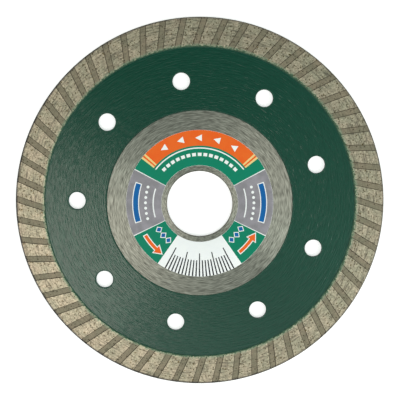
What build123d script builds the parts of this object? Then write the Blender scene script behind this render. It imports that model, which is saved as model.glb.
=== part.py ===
from build123d import *
from math import asin, degrees, radians, sin, sqrt
import os

# Thin diamond blade with a continuous turbo rim, for cutting hard tiles with an angle grinder.
# It lies flat: +Z is the axis of rotation, towards the labelled front face, and the origin is
# the centre of the bore, in the middle of the core's thickness. Lengths are in millimetres and
# angles in degrees, counted counter-clockwise from +X as seen from the front.

# Driving dimensions: the blade as a whole
blade_diameter = 125.0
bore_diameter = 22.23           # the standard arbor of 115 and 125 mm angle grinders

# Steel core, and the dovetail keyways in its edge that the rim is pressed into
core_thickness = 1.0
cooling_hole_count = 9
cooling_hole_diameter = 6.0
cooling_circle_shift = 0.4      # how far inside the middle of the web the holes stand
first_hole_angle = 98.55
keyway_count = 12
keyway_depth = 1.15
keyway_root_width = 1.7
keyway_flank_angle = 75.0       # between the root and a flank, so the mouth is narrower than the root
keyway_cover = 0.45             # core between a keyway's root and the rim's inner edge

# Sintered rim: pads between slanted grooves on both faces, staggered by half a pitch
rim_height = 9.8
groove_count = 56
groove_floor_width = 1.75
groove_depth = 0.22
groove_floor_skin = 0.08        # bond that a groove leaves over the core's face
groove_lean = 18.3              # from the radial direction, at the middle of the rim
groove_draft = 40.0             # the walls' slope, from the blade's axis
first_groove_angle = 359.88     # where the first groove crosses the middle of the rim
pad_corner_radius = 1.2         # only on each pad's blunt inner corner
rim_bevel = 0.35

# Reinforcement flange on each side of the hub
hub_diameter = 63.0
hub_flange_thickness = 0.3
hub_flange_chamfer = 0.12

# Printed label on the front flange
label_thickness = 0.1
label_bore_margin = 1.9         # bare steel between the bore and the label
label_hub_margin = 6.5          # bare steel between the label and the flange's edge

# Radii and heights that follow
blade_radius = blade_diameter / 2
bore_radius = bore_diameter / 2
hub_radius = hub_diameter / 2
rim_inner_radius = blade_radius - rim_height
rim_middle_radius = blade_radius - rim_height / 2
core_radius = rim_inner_radius + keyway_cover + keyway_depth
keyway_cut = 1.5 * keyway_depth             # each keyway is cut from its root out past the edge
cooling_circle_radius = (hub_radius + rim_inner_radius) / 2 - cooling_circle_shift
core_face = core_thickness / 2
groove_floor = core_face + groove_floor_skin
rim_face = groove_floor + groove_depth
hub_face = core_face + hub_flange_thickness

# Each groove is straight, so its centreline stays tangent to a circle round the bore
groove_pitch = 360 / groove_count
groove_tangent_radius = rim_middle_radius * sin(radians(groove_lean))
pad_overrun = rim_bevel + groove_depth      # the pads are made long and trimmed to the bevel


def groove_side(offset, radius, turn):
    """Where a groove's side, at this distance from the blade's axis, crosses a radius."""
    return Vector(sqrt(radius**2 - offset**2), offset).rotate(Axis.Z, turn)


# Steel core: a hardened disc with the bore, a ring of cooling holes and a keyed edge
with BuildPart() as steel_core:
    with BuildSketch(Plane.XY.offset(-core_face)):
        Circle(core_radius)
        Circle(bore_radius, mode=Mode.SUBTRACT)
        with PolarLocations(cooling_circle_radius, cooling_hole_count, start_angle=first_hole_angle):
            Circle(cooling_hole_diameter / 2, mode=Mode.SUBTRACT)
        with PolarLocations(core_radius - keyway_depth, keyway_count):
            Trapezoid(
                keyway_root_width,
                keyway_cut,
                keyway_flank_angle,
                rotation=-90,
                align=(Align.CENTER, Align.MIN),
                mode=Mode.SUBTRACT,
            )
    extrude(amount=core_thickness)

steel_core.part.label = "steel_core"

# One pad of the rim: it narrows upwards, and its blunt inner corner is rounded
far_radius = blade_radius + pad_overrun
near_offset = groove_tangent_radius + groove_floor_width / 2
next_offset = groove_tangent_radius - groove_floor_width / 2
near_inner = groove_side(near_offset, rim_inner_radius, 0)
near_outer = groove_side(near_offset, far_radius, 0)
next_outer = groove_side(next_offset, far_radius, groove_pitch)
next_inner = groove_side(next_offset, rim_inner_radius, groove_pitch)
with BuildPart() as rim_pad:
    with BuildSketch(Plane.XY.offset(groove_floor)) as pad_outline:
        with BuildLine():
            Line(near_inner, near_outer)
            RadiusArc(near_outer, next_outer, -far_radius)
            Line(next_outer, next_inner)
            RadiusArc(next_inner, near_inner, rim_inner_radius)
        make_face()
        blunt_corner = pad_outline.vertices().sort_by_distance(near_inner)[0]
        fillet(blunt_corner, radius=pad_corner_radius)
    extrude(amount=groove_depth, taper=groove_draft)

# Turbo rim: a ring with pads on both faces, bevelled at the outer corners and pressed round
# the core's keyed edge
groove_turn = first_groove_angle - degrees(asin(groove_tangent_radius / rim_middle_radius))
with BuildPart() as turbo_rim:
    with BuildSketch(Plane.XY.offset(-groove_floor)):
        Circle(blade_radius)
        Circle(rim_inner_radius, mode=Mode.SUBTRACT)
    extrude(amount=2 * groove_floor)
    with PolarLocations(0, groove_count, start_angle=groove_turn):
        add(rim_pad.part)
    with PolarLocations(0, groove_count, start_angle=groove_turn + groove_pitch / 2):
        add(mirror(rim_pad.part, about=Plane.XY, mode=Mode.PRIVATE))
    with BuildSketch(Plane.XZ):
        with BuildLine():
            Polyline(
                (rim_inner_radius, -rim_face),
                (blade_radius - rim_bevel, -rim_face),
                (blade_radius, rim_bevel - rim_face),
                (blade_radius, rim_face - rim_bevel),
                (blade_radius - rim_bevel, rim_face),
                (rim_inner_radius, rim_face),
                close=True,
            )
        make_face()
    revolve(axis=Axis.Z, mode=Mode.INTERSECT)
    add(steel_core.part, mode=Mode.SUBTRACT)

turbo_rim.part.label = "turbo_rim"

# Reinforcement flanges: thin discs on both sides of the hub, with a broken outer edge
with BuildPart() as hub_flange_front:
    with BuildSketch(Plane.XY.offset(core_face)):
        Circle(hub_radius)
        Circle(bore_radius, mode=Mode.SUBTRACT)
    extrude(amount=hub_flange_thickness)
    upper_edge = hub_flange_front.faces().sort_by(Axis.Z)[-1].outer_wire().edges()
    chamfer(upper_edge, length=hub_flange_chamfer)

hub_flange_front.part.label = "hub_flange_front"

with BuildPart() as hub_flange_back:
    mirror(hub_flange_front.part, about=Plane.XY)

hub_flange_back.part.label = "hub_flange_back"

# Label: a printed foil ring stuck on the front flange
with BuildPart() as label:
    with BuildSketch(Plane.XY.offset(hub_face)):
        Circle(hub_radius - label_hub_margin)
        Circle(bore_radius + label_bore_margin, mode=Mode.SUBTRACT)
    extrude(amount=label_thickness)

label.part.label = "label"

os.makedirs("parts", exist_ok=True)
for piece in (steel_core, turbo_rim, hub_flange_front, hub_flange_back, label):
    export_step(piece.part, f"parts/{piece.part.label}.step")
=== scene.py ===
import random
from math import ceil, cos, pi, radians, sin

import bpy
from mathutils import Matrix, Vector


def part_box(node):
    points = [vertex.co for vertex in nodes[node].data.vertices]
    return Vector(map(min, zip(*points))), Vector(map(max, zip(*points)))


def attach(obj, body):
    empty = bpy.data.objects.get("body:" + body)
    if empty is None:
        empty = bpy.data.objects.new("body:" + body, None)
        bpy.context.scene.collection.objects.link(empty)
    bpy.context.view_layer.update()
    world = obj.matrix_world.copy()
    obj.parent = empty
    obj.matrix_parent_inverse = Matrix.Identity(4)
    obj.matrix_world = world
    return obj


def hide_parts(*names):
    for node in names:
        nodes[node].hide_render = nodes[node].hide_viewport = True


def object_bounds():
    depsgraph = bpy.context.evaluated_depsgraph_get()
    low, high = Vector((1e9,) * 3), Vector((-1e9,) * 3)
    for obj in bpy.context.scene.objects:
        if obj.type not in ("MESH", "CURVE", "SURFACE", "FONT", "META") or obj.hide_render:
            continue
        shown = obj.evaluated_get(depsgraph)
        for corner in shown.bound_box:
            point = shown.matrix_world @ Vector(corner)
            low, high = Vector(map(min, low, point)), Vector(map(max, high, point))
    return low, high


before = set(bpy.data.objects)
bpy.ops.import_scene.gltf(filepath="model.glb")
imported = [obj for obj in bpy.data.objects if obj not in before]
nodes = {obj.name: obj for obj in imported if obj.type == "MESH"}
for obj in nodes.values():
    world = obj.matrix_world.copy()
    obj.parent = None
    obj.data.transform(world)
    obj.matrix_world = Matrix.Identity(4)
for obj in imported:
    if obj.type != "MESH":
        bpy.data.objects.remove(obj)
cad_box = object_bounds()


# The studio: the blade lies on its back on a white table in a white tent, whose sides are
# brighter than its roof. A soft box over its left side lies as a broad sheen on the lacquer
# there, and two weaker ones, past its foot and low on its right, fill in the rest.
MM = 0.001      # a millimetre, in metres


def linear_color(hex_text):
    """An sRGB colour written as hex digits, as the linear colour that a shader takes."""
    channels = [int(hex_text[i : i + 2], 16) / 255 for i in (0, 2, 4)]
    return [c / 12.92 if c <= 0.04045 else ((c + 0.055) / 1.055) ** 2.4 for c in channels] + [1.0]


def add_node(tree, kind, inputs=None, **settings):
    """Add a shader node and set it. An input, named or counted among those in use, takes a
    value, another node's output, or another node, which gives its first output in use."""
    node = tree.nodes.new(kind)
    for name, value in settings.items():
        setattr(node, name, value)
    in_use = [socket for socket in node.inputs if socket.enabled]
    for key, value in (inputs or {}).items():
        socket = in_use[key] if isinstance(key, int) else next(s for s in in_use if s.name == key)
        if isinstance(value, bpy.types.Node):
            value = next(output for output in value.outputs if output.enabled)
        if isinstance(value, bpy.types.NodeSocket):
            tree.links.new(value, socket)
        else:
            socket.default_value = value
    return node


def empty_material(name):
    """A new material with an empty node tree."""
    material = bpy.data.materials.new(name)
    material.use_nodes = True
    material.node_tree.nodes.clear()
    return material, material.node_tree


def dress(piece, material):
    """Give a piece this material alone."""
    piece.data.materials.clear()
    piece.data.materials.append(material)


table_size = 4              # metres, far past the edges of the view
table_gap = 0.02 * MM       # between the table and the back of the rim
table_top = cad_box[0][2] - table_gap
bpy.ops.object.select_all(action="DESELECT")
bpy.ops.mesh.primitive_plane_add(size=table_size, location=(0, 0, table_top))
table = bpy.context.object
table.name = "studio_table"

# White laminate: an even, dull white that takes the blade's soft shadow. What looks straight at
# it, or at its mirror image in metal, also sees it glow, so it is nearly as white as the tent.
table_glow = 0.55
white_laminate, tree = empty_material("matt_white_laminate")
paint = add_node(tree, "ShaderNodeBsdfDiffuse", {"Color": linear_color("dcdcdc")})
rays = add_node(tree, "ShaderNodeLightPath").outputs
seen = add_node(
    tree,
    "ShaderNodeMath",
    {0: rays["Is Camera Ray"], 1: rays["Is Glossy Ray"]},
    operation="MAXIMUM",
)
seen = add_node(
    tree, "ShaderNodeMath", {0: seen, 1: rays["Is Transmission Ray"]}, operation="MAXIMUM"
)
glow_strength = add_node(tree, "ShaderNodeMath", {0: seen, 1: table_glow}, operation="MULTIPLY")
glow = add_node(
    tree, "ShaderNodeEmission", {"Color": linear_color("ffffff"), "Strength": glow_strength}
)
surface = add_node(tree, "ShaderNodeAddShader", {0: paint, 1: glow})
add_node(tree, "ShaderNodeOutputMaterial", {"Surface": surface})
dress(table, white_laminate)

# White cloth of the tent: its bright sides shade into a dim, faintly blue green roof, whose
# middle lies past the blade's head. What looks straight at it sees plain white.
roof_middle = Vector((-0.12, 0.33, 0.93)).normalized()
roof_edge, roof_core = 0.72, 0.98       # cosines of the angle from the roof's middle
side_strength, roof_strength = 0.95, 0.14
world = bpy.data.worlds.new("white_tent")
bpy.context.scene.world = world
world.use_nodes = True
tree = world.node_tree
tree.nodes.clear()
outward = add_node(tree, "ShaderNodeTexCoord").outputs["Generated"]
nearness = add_node(
    tree, "ShaderNodeVectorMath", {0: outward, 1: roof_middle}, operation="DOT_PRODUCT"
)
roof_share = add_node(
    tree,
    "ShaderNodeMapRange",
    {"Value": nearness, "From Min": roof_edge, "From Max": roof_core},
)
strength = add_node(
    tree,
    "ShaderNodeMapRange",
    {"Value": roof_share, "To Min": side_strength, "To Max": roof_strength},
)
tent_color = add_node(
    tree,
    "ShaderNodeMix",
    {"Factor": roof_share, "A": linear_color("f9fffc"), "B": linear_color("d0fff7")},
    data_type="RGBA",
)
tent = add_node(tree, "ShaderNodeBackground", {"Color": tent_color, "Strength": strength})
backdrop = add_node(tree, "ShaderNodeBackground", {"Color": linear_color("ffffff")})
rays = add_node(tree, "ShaderNodeLightPath").outputs
sky = add_node(tree, "ShaderNodeMixShader", {0: rays["Is Camera Ray"], 1: tent, 2: backdrop})
add_node(tree, "ShaderNodeOutputWorld", {"Surface": sky})


def soft_box(name, place, size, power, color):
    """A square soft light, sizes in metres and power in watts, that faces the blade's middle."""
    lamp = bpy.data.lights.new(name, "AREA")
    lamp.color = linear_color(color)[:3]
    lamp.shape = "SQUARE"
    lamp.size = size
    lamp.energy = power
    box = bpy.data.objects.new(name, lamp)
    box.location = place
    box.rotation_euler = (-Vector(place)).to_track_quat("-Z", "Y").to_euler()
    bpy.context.scene.collection.objects.link(box)


soft_box("key_soft_box", (-0.163, -0.1, 0.45), size=0.22, power=0.505, color="fff3e9")
soft_box("foot_soft_box", (-0.07, -0.22, 0.45), size=0.25, power=0.03, color="fffef8")
soft_box("side_soft_box", (0.281, -0.131, 0.2), size=0.16, power=0.36, color="f6fffa")

# The camera looks almost straight down on the front face, from 0.23 m above it.
camera_data = bpy.data.cameras.new("camera")
camera_data.sensor_width = 36
camera_data.lens = 61.16
camera_data.clip_start = 0.001
camera = bpy.data.objects.new("camera", camera_data)
camera.location = (0.11 * MM, 18.41 * MM, 230.8 * MM)
camera.rotation_euler = (radians(-4.26), 0, 0)
bpy.context.scene.collection.objects.link(camera)
bpy.context.scene.camera = camera
bpy.context.scene.view_settings.view_transform = "Standard"


# Steel core: a thin hardened disc, ground round its axis on both faces, then hung up and
# sprayed with a dark green lacquer, so thin that the grinding marks still show in it. The bore
# was masked, and is reamed to size and bare.
bore_radius = 11.115 * MM
without_height = (1, 1, 0)      # a factor that leaves a place its distance from the axis
mean_radius = 45                # where the streaks in a pattern have their full length, in mm


def round_the_blade(tree, along, across):
    """Coordinates for streaks round the blade's axis, with their length and width in mm, and
    the distance from the axis."""
    place = add_node(tree, "ShaderNodeTexCoord").outputs["Object"]
    flat = add_node(
        tree, "ShaderNodeVectorMath", {0: place, 1: without_height}, operation="MULTIPLY"
    )
    radius = add_node(tree, "ShaderNodeVectorMath", {0: flat}, operation="LENGTH")
    outward = add_node(tree, "ShaderNodeVectorMath", {0: flat}, operation="NORMALIZE")
    turn = add_node(
        tree, "ShaderNodeVectorMath", {0: outward, "Scale": mean_radius / along}, operation="SCALE"
    )
    step = add_node(tree, "ShaderNodeMath", {0: radius, 1: 1 / (across * MM)}, operation="MULTIPLY")
    rise = add_node(tree, "ShaderNodeCombineXYZ", {"Z": step})
    return add_node(tree, "ShaderNodeVectorMath", {0: turn, 1: rise}, operation="ADD"), radius


# Green lacquer over ground steel: a deep cool green with a silky sheen, drawn out across the
# blade by fine streaks. The real marks are about 0.1 mm wide and don't show at this size, so
# they are drawn 0.36 mm wide.
masked_radius = bore_radius + 0.085 * MM
coated_radius = bore_radius + 0.185 * MM
lacquer, tree = empty_material("green_lacquer_on_ground_steel")
streaks, radius = round_the_blade(tree, along=3.2, across=0.36)
grinding = add_node(
    tree, "ShaderNodeTexNoise", {"Vector": streaks, "Scale": 1.0, "Detail": 1.0, "Roughness": 0.5}
)
depth = add_node(
    tree, "ShaderNodeMapRange", {"Value": grinding, "From Min": 0.3, "From Max": 0.7}
)
color = add_node(
    tree,
    "ShaderNodeMix",
    {"Factor": depth, "A": linear_color("063b2c"), "B": linear_color("0a4232")},
    data_type="RGBA",
)
bare_bore = add_node(
    tree,
    "ShaderNodeMapRange",
    {
        "Value": radius,
        "From Min": masked_radius,
        "From Max": coated_radius,
        "To Min": 1.0,
        "To Max": 0.0,
    },
)
color = add_node(
    tree,
    "ShaderNodeMix",
    {"Factor": bare_bore, "A": color, "B": linear_color("8f9086")},
    data_type="RGBA",
)
metallic = add_node(
    tree, "ShaderNodeMapRange", {"Value": bare_bore, "To Min": 0.25, "To Max": 1.0}
)
roughness = add_node(
    tree,
    "ShaderNodeMapRange",
    {"Value": grinding, "From Min": 0.3, "From Max": 0.7, "To Min": 0.58, "To Max": 0.3},
)
relief = add_node(
    tree, "ShaderNodeBump", {"Height": depth, "Strength": 0.85, "Distance": 0.042 * MM}
)
tangent = add_node(tree, "ShaderNodeTangent", direction_type="RADIAL", axis="Z")
shader = add_node(
    tree,
    "ShaderNodeBsdfPrincipled",
    {
        "Base Color": color,
        "Metallic": metallic,
        "Roughness": roughness,
        "Specular IOR Level": 0.0,
        "Anisotropic": 0.8,
        "Anisotropic Rotation": 0.25,
        "Tangent": tangent,
        "Normal": relief,
        "Coat Weight": 1.0,
        "Coat Roughness": 0.2,
        "Coat IOR": 1.5,
        "Coat Normal": relief,
    },
)
add_node(tree, "ShaderNodeOutputMaterial", {"Surface": shader})
dress(nodes["steel_core"], lacquer)


# Lacquer beads: where the sprayed coat creeps together and dries, it stands as a low rounded
# lip. One lies round each cooling hole, one at the foot of each flange and one against the rim.
core_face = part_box("steel_core")[1][2] / MM


def reshape_selected(size=(1, 1, 1), shift=(0, 0, 0), turn=0.0):
    """Resize what is selected about the axis, move it, then turn it; millimetres and degrees."""
    bpy.ops.transform.resize(value=size, center_override=(0, 0, 0))
    bpy.ops.transform.translate(value=[s * MM for s in shift])
    bpy.ops.transform.rotate(value=-radians(turn), orient_axis="Z", center_override=(0, 0, 0))


def spin_section(steps, degrees=360.0, center=(0, 0)):
    """Spin the whole mesh counter-clockwise about an upright axis and close what it sweeps."""
    if degrees == 360:
        bpy.ops.mesh.delete(type="ONLY_FACE")
    bpy.ops.mesh.select_all(action="SELECT")
    middle = (center[0] * MM, center[1] * MM, 0)
    bpy.ops.mesh.spin(steps=steps, angle=-radians(degrees), center=middle, axis=(0, 0, 1))
    bpy.ops.mesh.select_all(action="SELECT")
    bpy.ops.mesh.remove_doubles(threshold=0.001 * MM)
    bpy.ops.mesh.normals_make_consistent(inside=False)


def lacquer_bead(radius, width, height, steps, center=(0, 0)):
    """A ring of lacquer on the core's front face: a flattened round section, spun round."""
    bpy.ops.object.select_all(action="DESELECT")
    bpy.ops.mesh.primitive_circle_add(vertices=8, radius=0.5 * MM, rotation=(pi / 2, 0, 0))
    bpy.ops.object.transform_apply(location=True, rotation=True, scale=True)
    bpy.ops.object.mode_set(mode="EDIT")
    bpy.ops.mesh.select_all(action="SELECT")
    place = (center[0] + radius + width / 2, center[1], core_face)
    reshape_selected(size=(width, 1, 2 * height), shift=place)
    spin_section(steps, center=center)
    bpy.ops.object.mode_set(mode="OBJECT")
    return bpy.context.object


def copies_round(piece, count, pitch):
    """Fill a row round the blade with copies of what was modelled, a pitch in degrees apart."""
    bpy.context.view_layer.objects.active = piece
    bpy.ops.object.mode_set(mode="EDIT")
    bpy.ops.mesh.select_all(action="SELECT")
    sweep = -radians(pitch * (count - 1))
    bpy.ops.mesh.spin(
        steps=count - 1, dupli=True, angle=sweep, center=(0, 0, 0), axis=(0, 0, 1)
    )
    bpy.ops.object.mode_set(mode="OBJECT")
    return piece


def copy_to_back(bead):
    """Copy what was modelled on the core's front face to its back."""
    bpy.context.view_layer.objects.active = bead
    bpy.ops.object.mode_set(mode="EDIT")
    bpy.ops.mesh.select_all(action="SELECT")
    bpy.ops.mesh.duplicate()
    bpy.ops.transform.translate(value=(0, 0, -2 * core_face * MM))
    bpy.ops.object.mode_set(mode="OBJECT")


def finish_piece(piece, name, material, smooth_below=None):
    """Apply a piece's place, and give it its name, material, body and shading."""
    bpy.context.view_layer.objects.active = piece
    bpy.ops.object.transform_apply(location=True, rotation=True, scale=True)
    piece.name = name
    piece.data.name = name
    dress(piece, material)
    if smooth_below:
        bpy.ops.object.shade_smooth_by_angle(angle=radians(smooth_below))
    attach(piece, "root")


# The thick lip of the same lacquer: a paler, dull green line, clouded by dust that dried in it.
lip, tree = empty_material("thick_matt_lip_of_lacquer")
place = add_node(tree, "ShaderNodeTexCoord").outputs["Object"]
dust = add_node(
    tree, "ShaderNodeTexNoise", {"Vector": place, "Scale": 1 / (0.8 * MM), "Detail": 2.0}
)
dust = add_node(tree, "ShaderNodeMapRange", {"Value": dust, "From Min": 0.35, "From Max": 0.65})
color = add_node(
    tree,
    "ShaderNodeMix",
    {"Factor": dust, "A": linear_color("12382c"), "B": linear_color("1d4a3a")},
    data_type="RGBA",
)
shader = add_node(
    tree,
    "ShaderNodeBsdfPrincipled",
    {"Base Color": color, "Roughness": 0.6, "Specular IOR Level": 0.3},
)
add_node(tree, "ShaderNodeOutputMaterial", {"Surface": shader})

hole_count = 9
hole_radius = 3.0
hole_circle = 41.7
first_hole = radians(98.55)
hole_center = (hole_circle * cos(first_hole), hole_circle * sin(first_hole))
inside_hole = 0.08          # how far the lip hangs over the hole's edge
bead = lacquer_bead(
    hole_radius - inside_hole, width=0.36, height=0.06, steps=40, center=hole_center
)
copies_round(bead, hole_count, 360 / hole_count)
copy_to_back(bead)
finish_piece(bead, "hole_edge_beads", lip, smooth_below=60)

flange_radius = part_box("hub_flange_front")[1][0] / MM
bead = lacquer_bead(flange_radius, width=0.5, height=0.07, steps=180)
copy_to_back(bead)
finish_piece(bead, "flange_foot_bead", lip, smooth_below=60)

rim_inner_radius = 52.7
bare_gap = 0.28             # from the lip's inner edge to the rim, so it laps a little into it
bead = lacquer_bead(rim_inner_radius - bare_gap, width=0.32, height=0.07, steps=180)
copy_to_back(bead)
finish_piece(bead, "rim_foot_bead", lip, smooth_below=60)


# Turbo rim: diamond grit in a bronze and cobalt powder, pressed and sintered round the core's
# keyed edge, then turned flat on both faces. The grooves keep their skin from the mould, the
# inner edge catches some of the lacquer's spray, and the bevel carries a painted shade.
groove_floor, pad_face = 0.58 * MM, 0.8 * MM
wall_end = 0.02 * MM
blade_radius = cad_box[1][0]
bevel_start = blade_radius - 0.35 * MM
outer_wall_top = 0.45 * MM

# Sintered bond: a dry, open-pored, tan grey metal, mottled like fine sandstone and scored by
# the lathe; darker in the grooves and darkest along their walls, a painted shade. The powder's
# grains and the tool marks are 0.05 to 0.2 mm wide, and are drawn 0.4 to 0.6 mm wide to show.
bond, tree = empty_material("sintered_diamond_bond")
place = add_node(tree, "ShaderNodeTexCoord").outputs["Object"]
height = add_node(tree, "ShaderNodeSeparateXYZ", {0: place}).outputs["Z"]
height = add_node(tree, "ShaderNodeMath", {0: height}, operation="ABSOLUTE")
over_floor = add_node(
    tree,
    "ShaderNodeMapRange",
    {"Value": height, "From Min": groove_floor, "From Max": groove_floor + wall_end},
)
over_wall = add_node(
    tree,
    "ShaderNodeMapRange",
    {"Value": height, "From Min": pad_face - wall_end, "From Max": pad_face},
)

# The patterns of the powder and of the lathe, weaker on the grooves' smooth moulded skin.
moulded_skin = add_node(
    tree, "ShaderNodeMapRange", {"Value": over_wall, "To Min": 0.55, "To Max": 0.0}
)
patches = add_node(
    tree, "ShaderNodeTexNoise", {"Vector": place, "Scale": 1 / (3.5 * MM), "Detail": 2.0}
)
patches = add_node(
    tree, "ShaderNodeMapRange", {"Value": patches, "From Min": 0.35, "From Max": 0.65}
)
color = add_node(
    tree,
    "ShaderNodeMix",
    {"Factor": patches, "A": linear_color("9e9782"), "B": linear_color("ab9e89")},
    data_type="RGBA",
)
grain = add_node(
    tree,
    "ShaderNodeTexNoise",
    {"Vector": place, "Scale": 1 / (0.55 * MM), "Detail": 4.0, "Roughness": 0.65},
)
powder = add_node(tree, "ShaderNodeTexVoronoi", {"Vector": place, "Scale": 1 / (0.42 * MM)})
powder_shade = add_node(tree, "ShaderNodeSeparateColor", {0: powder.outputs["Color"]})
turning, radius = round_the_blade(tree, along=3, across=0.42)
scratches = add_node(tree, "ShaderNodeTexNoise", {"Vector": turning, "Scale": 1.0, "Detail": 2.0})
for pattern, low, high, dark, bright in (
    (grain, 0.3, 0.7, 0.75, 1.25),
    (powder_shade, 0.0, 1.0, 0.75, 1.25),
    (scratches, 0.32, 0.5, 0.5, 1.1),
):
    light = add_node(
        tree,
        "ShaderNodeMapRange",
        {"Value": pattern, "From Min": low, "From Max": high, "To Min": dark, "To Max": bright},
    )
    light = add_node(tree, "ShaderNodeMix", {"Factor": moulded_skin, "A": light, "B": 1.0})
    color = add_node(tree, "ShaderNodeVectorMath", {0: color, "Scale": light}, operation="SCALE")

# Pores: dark pits in the bond. The real ones are 0.1 to 0.3 mm wide; these are drawn about
# 0.5 mm wide, one to each 1.15 mm or so.
pores = add_node(tree, "ShaderNodeTexVoronoi", {"Vector": place, "Scale": 1 / (1.15 * MM)})
open_pore = add_node(
    tree,
    "ShaderNodeMapRange",
    {
        "Value": pores.outputs["Distance"],
        "From Min": 0.19,
        "From Max": 0.25,
        "To Min": 0.8,
        "To Max": 0.0,
    },
)
color = add_node(
    tree,
    "ShaderNodeMix",
    {"Factor": open_pore, "A": color, "B": linear_color("4f4530")},
    data_type="RGBA",
)

# By height: the grooves' floors a shade darker, their walls darkest with painted shade, the pads'
# faces as they are.
shade = add_node(
    tree,
    "ShaderNodeMix",
    {"Factor": over_floor, "A": linear_color("cccbc6"), "B": linear_color("5a5248")},
    data_type="RGBA",
)
shade = add_node(
    tree,
    "ShaderNodeMix",
    {"Factor": over_wall, "A": shade, "B": linear_color("ffffff")},
    data_type="RGBA",
)
color = add_node(tree, "ShaderNodeVectorMath", {0: color, 1: shade}, operation="MULTIPLY")

# By radius, inside: a pale mist of spray, in part a painted highlight on the pads' inner ends,
# and nearest the core a ragged line of wet lacquer. The spray fell a little off centre.
ragged = 0.3 * MM
off_center = (-0.17 * MM, 0.02 * MM, 0)
wander = add_node(
    tree, "ShaderNodeMapRange", {"Value": powder_shade, "To Min": -ragged, "To Max": ragged}
)
spray_place = add_node(tree, "ShaderNodeVectorMath", {0: place, 1: off_center}, operation="ADD")
spray_place = add_node(
    tree, "ShaderNodeVectorMath", {0: spray_place, 1: without_height}, operation="MULTIPLY"
)
spray_edge = add_node(tree, "ShaderNodeVectorMath", {0: spray_place}, operation="LENGTH")
spray_edge = add_node(tree, "ShaderNodeMath", {0: spray_edge, 1: wander}, operation="ADD")
# The first row is the mist, partly a painted highlight; the second is the wet lacquer.
for start, end, share, spray_and_highlight in (
    (53.0, 53.8, 0.62, "90a68c"),
    (52.95, 53.15, 0.9, "3a5a43"),
):
    sprayed = add_node(
        tree,
        "ShaderNodeMapRange",
        {
            "Value": spray_edge,
            "From Min": start * MM,
            "From Max": end * MM,
            "To Min": share,
            "To Max": 0.0,
        },
    )
    color = add_node(
        tree,
        "ShaderNodeMix",
        {"Factor": sprayed, "A": color, "B": linear_color(spray_and_highlight)},
        data_type="RGBA",
    )

# By radius, outside: painted shade on the bevel and on a line inside it, a painted dark
# reflection that is darkest towards the lower left. The upright wall below them is left plain.
# Painted shade: lightest towards this direction, darkest on the opposite side.
lit_side_direction = (0.87, 0.5, 0)
side_shade_reach = 30 * MM
line_start, line_end = bevel_start - 0.4 * MM, bevel_start - 0.3 * MM
soft_bevel_edge = 0.05 * MM
soft_wall_edge = 0.03 * MM
toward_lit_side = add_node(
    tree, "ShaderNodeVectorMath", {0: place, 1: lit_side_direction}, operation="DOT_PRODUCT"
)
lit_side_share = add_node(
    tree,
    "ShaderNodeMapRange",
    {"Value": toward_lit_side, "From Min": -side_shade_reach, "From Max": side_shade_reach},
)
near_shade = add_node(
    tree,
    "ShaderNodeMix",
    {"Factor": lit_side_share, "A": linear_color("b9b7bd"), "B": linear_color("f6f4f8")},
    data_type="RGBA",
)
bevel_shade = add_node(
    tree,
    "ShaderNodeMix",
    {"Factor": lit_side_share, "A": linear_color("2c2a30"), "B": linear_color("d0ced2")},
    data_type="RGBA",
)
on_bevel = add_node(
    tree,
    "ShaderNodeMapRange",
    {"Value": radius, "From Min": bevel_start - soft_bevel_edge, "From Max": bevel_start},
)
edge_shade = add_node(
    tree,
    "ShaderNodeMix",
    {"Factor": on_bevel, "A": near_shade, "B": bevel_shade},
    data_type="RGBA",
)
near_bevel = add_node(
    tree, "ShaderNodeMapRange", {"Value": radius, "From Min": line_start, "From Max": line_end}
)
above_wall = add_node(
    tree,
    "ShaderNodeMapRange",
    {
        "Value": height,
        "From Min": outer_wall_top - soft_wall_edge,
        "From Max": outer_wall_top,
    },
)
edge_shaded = add_node(
    tree, "ShaderNodeMath", {0: near_bevel, 1: above_wall}, operation="MULTIPLY"
)
edge_shade = add_node(
    tree,
    "ShaderNodeMix",
    {"Factor": edge_shaded, "A": linear_color("ffffff"), "B": edge_shade},
    data_type="RGBA",
)
color = add_node(tree, "ShaderNodeVectorMath", {0: color, 1: edge_shade}, operation="MULTIPLY")

roughness = add_node(
    tree, "ShaderNodeMapRange", {"Value": over_wall, "To Min": 0.58, "To Max": 0.45}
)
metallic = add_node(
    tree, "ShaderNodeMapRange", {"Value": over_wall, "To Min": 0.5, "To Max": 0.65}
)
relief = add_node(
    tree, "ShaderNodeBump", {"Height": grain, "Strength": 0.6, "Distance": 0.06 * MM}
)
shader = add_node(
    tree,
    "ShaderNodeBsdfPrincipled",
    {"Base Color": color, "Roughness": roughness, "Metallic": metallic, "Normal": relief},
)
add_node(tree, "ShaderNodeOutputMaterial", {"Surface": shader})
dress(nodes["turbo_rim"], bond)


# Diamond grit: crystals of synthetic diamond about 0.4 mm across, spread all through the bond.
# Turning the faces has laid some of them bare, and they stand a little proud of the pads.
bpy.ops.object.select_all(action="DESELECT")
bpy.ops.mesh.primitive_cube_add(size=0.5 * MM)
crystal = bpy.context.object
bpy.ops.object.mode_set(mode="EDIT")
bpy.ops.mesh.select_all(action="SELECT")
bpy.ops.mesh.bevel(offset_type="PERCENT", offset_pct=30, affect="VERTICES")
bpy.ops.object.mode_set(mode="OBJECT")

grit_scatter = random.Random(11)
rim = nodes["turbo_rim"]
ring_count, first_ring, ring_gap = 7, 54.0, 1.25
crystal_gap = 1.6
off_ring = 0.6              # how far a crystal may lie off its ring, in mm
off_step = 0.45             # and off its step round the ring, as a share of the step
probe_height = 2 * MM
face_margin = 0.01 * MM
bare_spots = []
for ring in range(ring_count):
    ring_radius = first_ring + ring_gap * ring
    count = round(2 * pi * ring_radius / crystal_gap)
    for k in range(count):
        radius = (ring_radius + grit_scatter.uniform(-off_ring, off_ring)) * MM
        angle = 2 * pi / count * (k + grit_scatter.uniform(-off_step, off_step))
        for face in (1, -1):
            above = Vector((radius * cos(angle), radius * sin(angle), face * probe_height))
            hit, spot, _, _ = rim.ray_cast(above, Vector((0, 0, -face)))
            if hit and abs(spot.z) > pad_face - face_margin:
                bare_spots.append((spot, face))

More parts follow.
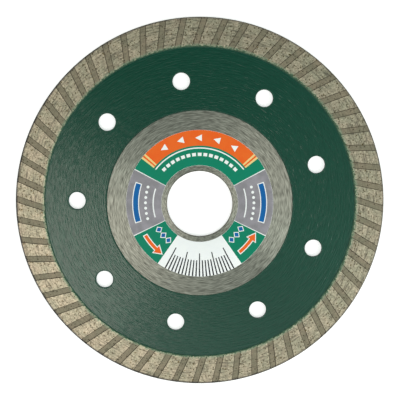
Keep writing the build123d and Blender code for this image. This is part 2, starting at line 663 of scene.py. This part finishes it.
stands_proud = 0.035 * MM
most_tilt = 0.25            # radians
smallest, largest = 0.65, 1.15
crystals = []
for spot, face in bare_spots:
    grit = crystal.copy()
    grit.data = crystal.data.copy()
    tilts = [grit_scatter.uniform(-most_tilt, most_tilt) for axis in range(2)]
    grit.rotation_euler = (*tilts, grit_scatter.uniform(0, pi))
    size = grit_scatter.uniform(smallest, largest)
    grit.scale = (size, size, size)
    turned = grit.rotation_euler.to_matrix()
    top = size * max((turned @ corner.co).z for corner in grit.data.vertices)
    grit.location = spot + Vector((0, 0, face * (stands_proud - top)))
    bpy.context.collection.objects.link(grit)
    crystals.append(grit)
bpy.data.objects.remove(crystal)


def joined(pieces):
    """Several objects joined into the first of them."""
    bpy.ops.object.select_all(action="DESELECT")
    for piece in pieces:
        piece.select_set(True)
    bpy.context.view_layer.objects.active = pieces[0]
    if len(pieces) > 1:
        bpy.ops.object.join()
    return pieces[0]


# Synthetic diamond: brown-black specks, some of them honey coloured, that glint here and there.
# Each cell of space is as large as a crystal and has its own shade.
cell_size = 0.6 * MM
diamond, tree = empty_material("synthetic_diamond_crystal")
place = add_node(tree, "ShaderNodeTexCoord").outputs["Object"]
cells = add_node(
    tree, "ShaderNodeVectorMath", {0: place, 1: (cell_size,) * 3}, operation="SNAP"
)
each = add_node(tree, "ShaderNodeTexWhiteNoise", {"Vector": cells}, noise_dimensions="3D")
color = add_node(
    tree,
    "ShaderNodeMix",
    {"Factor": each, "A": linear_color("0c0a05"), "B": linear_color("3a3220")},
    data_type="RGBA",
)
shader = add_node(
    tree,
    "ShaderNodeBsdfPrincipled",
    {
        "Base Color": color,
        "Roughness": 0.35,
        "IOR": 2.42,
        "Specular Tint": linear_color("d8c08c"),
    },
)
add_node(tree, "ShaderNodeOutputMaterial", {"Surface": shader})
finish_piece(joined(crystals), "diamond_grit", diamond)


# Hub flanges: two thin steel discs that stiffen the middle of the blade. They are blanked from
# sheet, surface ground, and fixed to the core after it is sprayed, so they stay bare.
bore_edge_start = bore_radius + 0.135 * MM
bore_edge_end = bore_radius + 0.335 * MM

# Ground bare steel: a satin grey with fine arcs round the blade, and a sheen that fans out to
# two sides of the bore, whose edge is a shade darker. The real arcs are about 0.05 mm wide;
# they are drawn 0.22 mm wide.
ground_steel, tree = empty_material("ground_bare_steel")
streaks, radius = round_the_blade(tree, along=4, across=0.22)
grinding = add_node(
    tree, "ShaderNodeTexNoise", {"Vector": streaks, "Scale": 1.0, "Detail": 1.0, "Roughness": 0.6}
)
depth = add_node(
    tree, "ShaderNodeMapRange", {"Value": grinding, "From Min": 0.3, "From Max": 0.7}
)
color = add_node(
    tree,
    "ShaderNodeMix",
    {"Factor": depth, "A": linear_color("67675f"), "B": linear_color("ababa0")},
    data_type="RGBA",
)
past_bore_edge = add_node(
    tree,
    "ShaderNodeMapRange",
    {"Value": radius, "From Min": bore_edge_start, "From Max": bore_edge_end},
)
shade = add_node(
    tree,
    "ShaderNodeMix",
    {"Factor": past_bore_edge, "A": linear_color("b4aeae"), "B": linear_color("ffffff")},
    data_type="RGBA",
)
color = add_node(tree, "ShaderNodeVectorMath", {0: color, 1: shade}, operation="MULTIPLY")
relief = add_node(
    tree, "ShaderNodeBump", {"Height": depth, "Strength": 0.4, "Distance": 0.02 * MM}
)
tangent = add_node(tree, "ShaderNodeTangent", direction_type="RADIAL", axis="Z")
shader = add_node(
    tree,
    "ShaderNodeBsdfPrincipled",
    {
        "Base Color": color,
        "Metallic": 1.0,
        "Roughness": 0.45,
        "Anisotropic": 0.8,
        "Anisotropic Rotation": 0.25,
        "Tangent": tangent,
        "Normal": relief,
    },
)
add_node(tree, "ShaderNodeOutputMaterial", {"Surface": shader})
for name in ("hub_flange_front", "hub_flange_back"):
    dress(nodes[name], ground_steel)


# Label foil: a ring of white polypropylene film, 0.07 mm thick, printed all over with an even
# white, punched out and stuck on the front flange. The punch has rounded its upper edges.
foil_low, foil_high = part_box("label")
label_radius = foil_high[0] / MM
label_bore = 13.015
foil_bottom = foil_low[2] / MM
foil_top = foil_bottom + 0.07
sunk = 0.01                 # how deep each coat of ink reaches into the foil
ring_steps = 120
arc_step = 60               # in a part of a ring, degrees times millimetres: about 1 mm of arc


def printed_ink(name, color, other_color):
    """A satin screen ink: an even, flat colour that clouds very slightly into another one, with
    a soft sheen that the weave of the screen breaks up."""
    ink, tree = empty_material(name)
    place = add_node(tree, "ShaderNodeTexCoord").outputs["Object"]
    clouds = add_node(
        tree, "ShaderNodeTexNoise", {"Vector": place, "Scale": 1 / (3 * MM), "Detail": 3.0}
    )
    clouds = add_node(
        tree, "ShaderNodeMapRange", {"Value": clouds, "From Min": 0.35, "From Max": 0.65}
    )
    shade = add_node(
        tree,
        "ShaderNodeMix",
        {"Factor": clouds, "A": linear_color(color), "B": linear_color(other_color)},
        data_type="RGBA",
    )
    # The screen's threads are 0.1 mm apart, and are drawn three times as far apart to show.
    weave = add_node(
        tree, "ShaderNodeTexVoronoi", {"Vector": place, "Scale": 1 / (0.3 * MM), "Randomness": 0.3}
    )
    relief = add_node(
        tree, "ShaderNodeBump", {"Height": weave, "Strength": 0.2, "Distance": 0.004 * MM}
    )
    shader = add_node(
        tree,
        "ShaderNodeBsdfPrincipled",
        {"Base Color": shade, "Roughness": 0.5, "Specular IOR Level": 0.15, "Normal": relief},
    )
    add_node(tree, "ShaderNodeOutputMaterial", {"Surface": shader})
    return ink


def ring_sector(inner, outer, start, sweep, top, bottom=foil_top - sunk):
    """Part of a flat ring, from a start angle through a sweep: an upright face spun round."""
    bpy.ops.object.select_all(action="DESELECT")
    bpy.ops.mesh.primitive_plane_add(size=MM, rotation=(pi / 2, 0, 0))
    bpy.ops.object.transform_apply(location=True, rotation=True, scale=True)
    bpy.ops.object.mode_set(mode="EDIT")
    bpy.ops.mesh.select_all(action="SELECT")
    middle = ((inner + outer) / 2, 0, (top + bottom) / 2)
    reshape_selected(size=(outer - inner, 1, top - bottom), shift=middle, turn=start)
    steps = ring_steps if sweep == 360 else max(1, ceil(sweep * outer / arc_step))
    spin_section(steps, sweep)
    bpy.ops.object.mode_set(mode="OBJECT")
    return bpy.context.object


foil = ring_sector(label_bore, label_radius, 0, 360, foil_top, foil_bottom)
tolerance = 0.01 * MM
bpy.ops.object.mode_set(mode="EDIT")
bpy.ops.mesh.select_all(action="SELECT")
bpy.ops.mesh.select_mode(type="EDGE")
bpy.ops.object.mode_set(mode="OBJECT")
for edge in foil.data.edges:
    ends = [foil.data.vertices[v].co for v in edge.vertices]
    same_radius = abs(ends[0].xy.length - ends[1].xy.length) < tolerance
    edge.select = same_radius and min(end.z for end in ends) > foil_top * MM - tolerance
bpy.ops.object.mode_set(mode="EDIT")
bpy.ops.mesh.bevel(offset=0.02 * MM, segments=2, affect="EDGES")
bpy.ops.mesh.select_mode(type="FACE")
bpy.ops.object.mode_set(mode="OBJECT")

# White foil: the brightest and most even surface on the blade, satin and very slightly cool.
white_foil = printed_ink("white_polypropylene_foil", "f1f2f2", "eeeff1")
finish_piece(foil, "label_foil", white_foil, smooth_below=40)
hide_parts("label")


# Label inks: seven screen inks in thin even coats, a ground colour first, then the fields, their
# outlines, and the small signs on top. The shapes in one colour are one piece.
coat_step = 0.007
ground_coat, field_coat, outline_coat, sign_coat = (foil_top + coat_step * k for k in (1, 2, 3, 4))


def printed_shape(corners, radius, angle, size, top):
    """An upright-sided flat shape with this many corners, the first of them pointing
    counter-clockwise, at a radius and an angle on the label; its size is along and across."""
    bpy.ops.object.select_all(action="DESELECT")
    bpy.ops.mesh.primitive_circle_add(vertices=corners, radius=MM, fill_type="NGON")
    bpy.ops.object.mode_set(mode="EDIT")
    bpy.ops.mesh.select_all(action="SELECT")
    bpy.ops.mesh.extrude_region_move(TRANSFORM_OT_translate={"value": (0, 0, MM)})
    bpy.ops.mesh.select_all(action="SELECT")
    bottom = foil_top - sunk
    reshape_selected(size=(size[1], size[0], top - bottom))
    reshape_selected(shift=(radius, 0, bottom), turn=angle)
    bpy.ops.mesh.normals_make_consistent(inside=False)
    bpy.ops.object.mode_set(mode="OBJECT")
    return bpy.context.object


edge_gap = 0.05
inside, outside = label_bore + edge_gap, label_radius - edge_gap
band_inner, band_start, band_sweep = 19.7, 38, 104
white_start, white_sweep = 235, 70
side_start, side_sweep, side_pitch = -26, 54, 178
arrow_start, arrow_pitch = 206, 99
inks = {"green": [], "orange": [], "lilac": [], "white": [], "blue": [], "yellow": [], "black": []}

# The ground coat is green all round, except where the foil is left white.
green_start = white_start + white_sweep
inks["green"].append(ring_sector(inside, outside, green_start, 360 - white_sweep, ground_coat))

# An orange band at the top, with a white line inside it, two yellow stripes at each end, five
# arrowheads on it and a row of dashes under it.
line_inner, line_outer = 18.7, 19.1
inks["orange"].append(ring_sector(band_inner, outside, band_start, band_sweep, field_coat))
inks["white"].append(ring_sector(line_inner, line_outer, band_start, band_sweep, outline_coat))
stripe_sweep, stripe_pitch = 1.6, 3
stripe = ring_sector(band_inner, outside, band_start, stripe_sweep, sign_coat)
two_stripes = copies_round(stripe, 2, stripe_pitch)
other_end = band_sweep - stripe_pitch - stripe_sweep
inks["yellow"].append(copies_round(two_stripes, 2, other_end))
head_count, head_radius, head_margin = 5, 22.3, 20
first_head = band_start + head_margin
head = printed_shape(3, head_radius, first_head, size=(1.5, 1.3), top=outline_coat)
head_pitch = (band_sweep - 2 * head_margin) / (head_count - 1)
inks["white"].append(copies_round(head, head_count, head_pitch))
dash_count, dash_margin, dash_sweep = 15, 4, 4.4
dash_inner, dash_outer = 16.2, 17.3
dash = ring_sector(dash_inner, dash_outer, band_start + dash_margin, dash_sweep, outline_coat)
dash_pitch = (band_sweep - 2 * dash_margin - dash_sweep) / (dash_count - 1)
inks["white"].append(copies_round(dash, dash_count, dash_pitch))

# A lilac field at each side between two white lines, with a blue bar edged in white, a row of
# dots and a line.
field = ring_sector(inside, outside, side_start, side_sweep, field_coat)
inks["lilac"].append(copies_round(field, 2, side_pitch))
line_sweep = 0.7
line = ring_sector(inside, outside, side_start - line_sweep / 2, line_sweep, outline_coat)
inks["white"].append(copies_round(copies_round(line, 2, side_sweep), 2, side_pitch))
sign_margin = 9
sign_start, sign_sweep = side_start + sign_margin, side_sweep - 2 * sign_margin
edge_inner, edge_outer = 20.6, 22.9
bar_edge = ring_sector(edge_inner, edge_outer, sign_start, sign_sweep, outline_coat)
inks["white"].append(copies_round(bar_edge, 2, side_pitch))
bar_inner, bar_outer, bar_margin = 20.9, 22.6, 0.8
bar_start, bar_sweep = sign_start + bar_margin, sign_sweep - 2 * bar_margin
bar = ring_sector(bar_inner, bar_outer, bar_start, bar_sweep, sign_coat)
inks["blue"].append(copies_round(bar, 2, side_pitch))
dot_count, dot_radius, dot_margin = 7, 18.4, 1
first_dot = sign_start + dot_margin
dot = printed_shape(12, dot_radius, first_dot, size=(0.5, 0.5), top=outline_coat)
dot_row = copies_round(dot, dot_count, (sign_sweep - 2 * dot_margin) / (dot_count - 1))
inks["white"].append(copies_round(dot_row, 2, side_pitch))
line_inner, line_outer = 15.6, 16.0
line = ring_sector(line_inner, line_outer, sign_start, sign_sweep, outline_coat)
inks["white"].append(copies_round(line, 2, side_pitch))

# In each lower green field a long curved arrow, orange edged in white, points the way that the
# blade turns, with three lozenges under it, blue edged in white.
lozenge_radius, lozenge_start, lozenge_pitch = 16.4, arrow_start + 6.5, 8.5
for ink_name, size, coat in (
    ("white", (1.18, 1.35), outline_coat),
    ("blue", (0.85, 0.98), sign_coat),
):
    lozenge = printed_shape(4, lozenge_radius, lozenge_start, size=size, top=coat)
    lozenge_chain = copies_round(lozenge, 3, lozenge_pitch)
    inks[ink_name].append(copies_round(lozenge_chain, 2, arrow_pitch))
head_radius = 21.4
over_shaft = 0.001          # keeps an arrow's head and shaft from lying in one plane
edge_inner, edge_outer = 20.55, 22.25
edge_start, edge_sweep = arrow_start + 3.6, 17
shaft_edge = ring_sector(edge_inner, edge_outer, edge_start, edge_sweep, outline_coat)
inks["white"].append(copies_round(shaft_edge, 2, arrow_pitch))
head_angle, head_top = arrow_start + 22.5, outline_coat + over_shaft
head_edge = printed_shape(3, head_radius, head_angle, size=(2.1, 2.3), top=head_top)
inks["white"].append(copies_round(head_edge, 2, arrow_pitch))
shaft_inner, shaft_outer = 20.85, 21.95
shaft_start, shaft_sweep = arrow_start + 4.4, 16
shaft = ring_sector(shaft_inner, shaft_outer, shaft_start, shaft_sweep, sign_coat)
inks["orange"].append(copies_round(shaft, 2, arrow_pitch))
head_angle, head_top = arrow_start + 22.4, sign_coat + 2 * over_shaft
head = printed_shape(3, head_radius, head_angle, size=(1.6, 1.75), top=head_top)
inks["orange"].append(copies_round(head, 2, arrow_pitch))

# A scale of long and short black ticks fills the white field.
tick_pitch = 2.8
long_pitch = 5 * tick_pitch
tick_sweep = 1.1
first_tick = white_start + 6.3
long_inner, short_inner = 17.0, 19.4
long_tick = ring_sector(long_inner, outside, first_tick, tick_sweep, sign_coat)
inks["black"].append(copies_round(long_tick, 5, long_pitch))
tick = ring_sector(short_inner, outside, first_tick + tick_pitch, tick_sweep, sign_coat)
inks["black"].append(copies_round(copies_round(tick, 4, tick_pitch), 4, long_pitch))

ink_colors = {
    "green": ("007c60", "047a5d"),
    "orange": ("e65f1e", "e76722"),
    "lilac": ("858287", "969199"),
    "white": ("eff0f0", "eceded"),
    "blue": ("0c5b9c", "1062a3"),
    "yellow": ("ecc77e", "eace8e"),
    "black": ("26262a", "303034"),
}
for ink_name, shapes in inks.items():
    ink = printed_ink(ink_name + "_screen_ink", *ink_colors[ink_name])
    finish_piece(joined(shapes), "label_" + ink_name + "_ink", ink)
